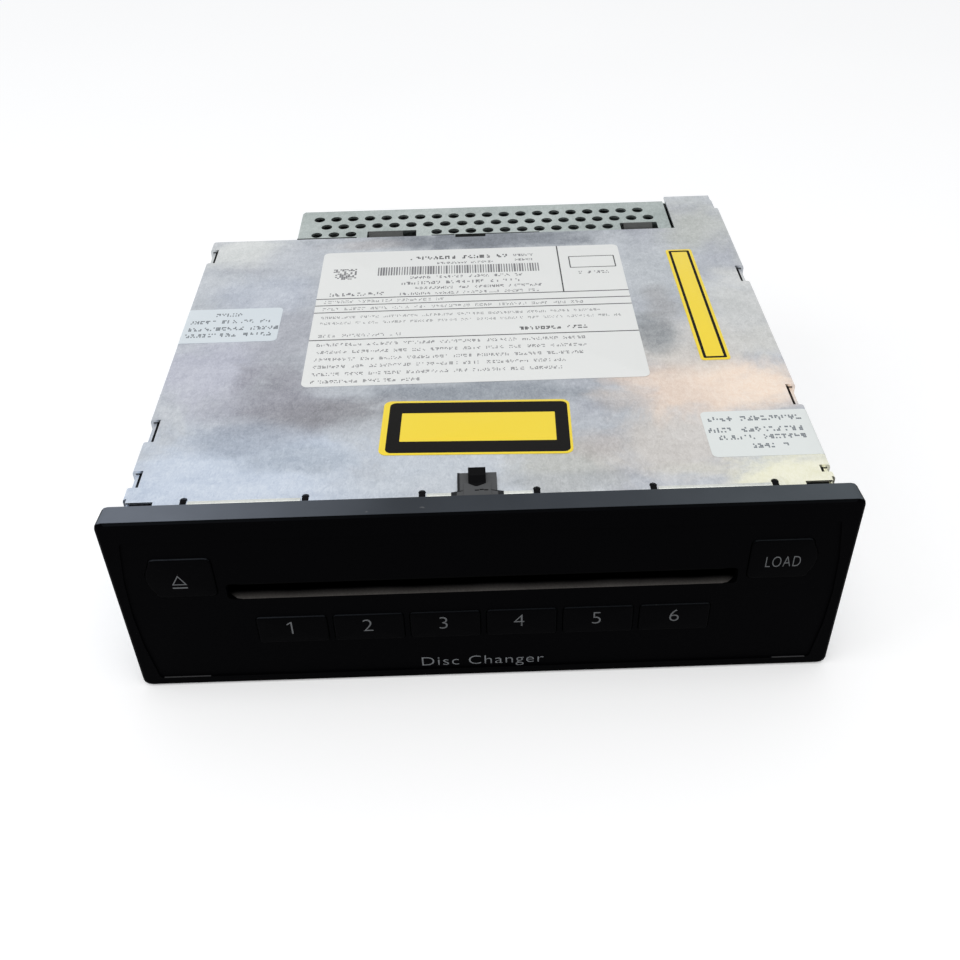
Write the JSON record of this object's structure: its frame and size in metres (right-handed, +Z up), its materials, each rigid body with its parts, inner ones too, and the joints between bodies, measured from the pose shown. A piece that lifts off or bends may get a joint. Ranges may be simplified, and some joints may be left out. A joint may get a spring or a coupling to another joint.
{
  "type": "in-dash disc changer",
  "caption": "Slim in-dash disc changer: slotted black front with keys, plated steel body with a perforated rear flange, and a working disc mechanism inside.",
  "frame": {"origin": "middle of the footprint, at the height of the front bezel's lower edge", "axes": "+X to the right seen from the front, +Y to the back, +Z up"},
  "size_m": [0.1864, 0.1738, 0.0598],
  "materials": {
    "bezel": "fine matte moulding",
    "key": "satin moulding",
    "felt": "short dark felt",
    "plated_steel": "bright zinc plate with mottled crystals",
    "frame_steel": "zinc plated sheet",
    "circuit_board": "green solder resist",
    "socket_plastic": "moulded",
    "rubber": "soft black",
    "white_plastic": "acetal",
    "gear_plastic": "acetal",
    "black_plastic": "moulded",
    "motor_steel": "drawn can",
    "bronze": "sintered",
    "shaft_steel": "ground",
    "pickup_metal": "cast, blasted",
    "lens_glass": "coated lens"
  },
  "bodies": {
    "root": {"front_bezel": "bezel", "bezel_latch": "bezel", "slot_felt_lower": "felt", "slot_felt_upper": "felt", "top_cover": "plated_steel", "chassis_tray": "plated_steel", "rear_cover": "plated_steel", "mechanism_frame": "frame_steel", "frame_top_plate": "frame_steel", "front_board": "circuit_board", "main_board": "circuit_board", "power_socket": "socket_plastic", "video_socket": "socket_plastic", "damper_front_left": "rubber", "damper_front_right": "rubber", "damper_rear_left": "rubber", "damper_rear_right": "rubber", "loading_motor": "motor_steel", "elevator_motor": "motor_steel", "roller_bush_left": "bronze", "roller_bush_right": "bronze", "guide_post_front_left": "shaft_steel", "guide_post_rear_right": "shaft_steel"},
    "eject_button": {"eject_button": "key"},
    "load_button": {"load_button": "key"},
    "disc_button_1": {"disc_button_1": "key"},
    "disc_button_2": {"disc_button_2": "key"},
    "disc_button_3": {"disc_button_3": "key"},
    "disc_button_4": {"disc_button_4": "key"},
    "disc_button_5": {"disc_button_5": "key"},
    "disc_button_6": {"disc_button_6": "key"},
    "roller": {"loading_roller": "rubber", "roller_shaft": "shaft_steel", "roller_gear": "gear_plastic"},
    "idler": {"idler_gear": "gear_plastic"},
    "motor_pinion": {"loading_pinion": "bronze"},
    "pinch_guide": {"pinch_guide": "black_plastic"},
    "elevator_slide": {"elevator_slide": "white_plastic"},
    "column_front_right": {"elevator_column_front_right": "white_plastic"},
    "column_rear_left": {"elevator_column_rear_left": "white_plastic"},
    "elevator_pinion": {"elevator_pinion": "bronze"},
    "lower_holders": {"disc_holder_1": "black_plastic", "disc_holder_2": "black_plastic", "disc_holder_3": "black_plastic"},
    "upper_holders": {"disc_holder_4": "black_plastic", "disc_holder_5": "black_plastic", "disc_holder_6": "black_plastic"},
    "playback_arm": {"traverse_arm": "frame_steel", "spindle_motor": "motor_steel", "guide_rod_front": "shaft_steel", "guide_rod_rear": "shaft_steel", "sled_motor": "motor_steel"},
    "turntable": {"turntable": "black_plastic"},
    "pickup": {"optical_pickup": "pickup_metal", "pickup_lens": "lens_glass"},
    "lead_screw": {"lead_screw": "shaft_steel"}
  },
  "joints": [
    {"name": "eject_button_press", "type": "slide", "parent": "root", "child": "eject_button", "axis": [0, 1, 0], "range_m": [0, 0.0008], "stiffness_N_per_m": 1200, "springref_m": -0.0004},
    {"name": "load_button_press", "type": "slide", "parent": "root", "child": "load_button", "axis": [0, 1, 0], "range_m": [0, 0.0008], "stiffness_N_per_m": 1200, "springref_m": -0.0004},
    {"name": "disc_button_1_press", "type": "slide", "parent": "root", "child": "disc_button_1", "axis": [0, 1, 0], "range_m": [0, 0.0008], "stiffness_N_per_m": 1200, "springref_m": -0.0004},
    {"name": "disc_button_2_press", "type": "slide", "parent": "root", "child": "disc_button_2", "axis": [0, 1, 0], "range_m": [0, 0.0008], "stiffness_N_per_m": 1200, "springref_m": -0.0004},
    {"name": "disc_button_3_press", "type": "slide", "parent": "root", "child": "disc_button_3", "axis": [0, 1, 0], "range_m": [0, 0.0008], "stiffness_N_per_m": 1200, "springref_m": -0.0004},
    {"name": "disc_button_4_press", "type": "slide", "parent": "root", "child": "disc_button_4", "axis": [0, 1, 0], "range_m": [0, 0.0008], "stiffness_N_per_m": 1200, "springref_m": -0.0004},
    {"name": "disc_button_5_press", "type": "slide", "parent": "root", "child": "disc_button_5", "axis": [0, 1, 0], "range_m": [0, 0.0008], "stiffness_N_per_m": 1200, "springref_m": -0.0004},
    {"name": "disc_button_6_press", "type": "slide", "parent": "root", "child": "disc_button_6", "axis": [0, 1, 0], "range_m": [0, 0.0008], "stiffness_N_per_m": 1200, "springref_m": -0.0004},
    {"name": "roller_turn", "type": "hinge", "parent": "root", "child": "roller", "pos_m": [0, -0.06835, 0.029], "axis": [1, 0, 0], "continuous": true},
    {"name": "idler_turn", "type": "hinge", "parent": "root", "child": "idler", "pos_m": [-0.0775, -0.05332, 0.03447], "axis": [1, 0, 0], "continuous": true},
    {"name": "motor_pinion_turn", "type": "hinge", "parent": "root", "child": "motor_pinion", "pos_m": [-0.0775, -0.03883, 0.03059], "axis": [1, 0, 0], "continuous": true},
    {"name": "pinch_guide_lift", "type": "slide", "parent": "root", "child": "pinch_guide", "axis": [0, 0, -1], "range_m": [0, 0.0033], "stiffness_N_per_m": 150, "springref_m": -0.002},
    {"name": "elevator_slide_move", "type": "slide", "parent": "root", "child": "elevator_slide", "axis": [0, 1, 0], "range_m": [-0.0157, 0]},
    {"name": "column_front_right_turn", "type": "hinge", "parent": "root", "child": "column_front_right", "pos_m": [0.0686, -0.04885, 0.03], "axis": [0, 0, 1], "range_deg": [0, 180]},
    {"name": "column_rear_left_turn", "type": "hinge", "parent": "root", "child": "column_rear_left", "pos_m": [-0.0686, 0.03715, 0.03], "axis": [0, 0, 1], "range_deg": [-180, 0]},
    {"name": "elevator_pinion_turn", "type": "hinge", "parent": "root", "child": "elevator_pinion", "pos_m": [0.0538, 0.04915, 0.018], "axis": [0, 0, 1], "range_deg": [-180, 0]},
    {"name": "lower_holders_lift", "type": "slide", "parent": "root", "child": "lower_holders", "axis": [0, 0, 1], "range_m": [0, 0.006]},
    {"name": "upper_holders_lift", "type": "slide", "parent": "root", "child": "upper_holders", "axis": [0, 0, 1], "range_m": [-0.006, 0]},
    {"name": "playback_arm_swing", "type": "hinge", "parent": "root", "child": "playback_arm", "pos_m": [0.07, 0.07115, 0.033], "axis": [0, 0, 1], "range_deg": [0, 47.73]},
    {"name": "turntable_spin", "type": "hinge", "parent": "playback_arm", "child": "turntable", "pos_m": [-0.03406, 0.07115, 0.036], "axis": [0, 0, 1], "continuous": true},
    {"name": "pickup_travel", "type": "slide", "parent": "playback_arm", "child": "pickup", "axis": [1, 0, 0], "range_m": [0, 0.036]},
    {"name": "lead_screw_turn", "type": "hinge", "parent": "playback_arm", "child": "lead_screw", "pos_m": [-0.00406, 0.06735, 0.0294], "axis": [1, 0, 0], "range_deg": [0, 4321]}
  ],
  "couplings": [
    {"joint": "idler_turn", "follows": "roller_turn", "ratio": -0.6},
    {"joint": "motor_pinion_turn", "follows": "roller_turn", "ratio": 1.2},
    {"joint": "column_front_right_turn", "follows": "elevator_slide_move", "rad_per_m": -200},
    {"joint": "column_rear_left_turn", "follows": "elevator_slide_move", "rad_per_m": 200},
    {"joint": "elevator_pinion_turn", "follows": "elevator_slide_move", "rad_per_m": 200},
    {"joint": "lower_holders_lift", "follows": "elevator_slide_move", "ratio": -0.38197},
    {"joint": "upper_holders_lift", "follows": "elevator_slide_move", "ratio": 0.38197},
    {"joint": "lead_screw_turn", "follows": "pickup_travel", "rad_per_m": 2094.4}
  ]
}
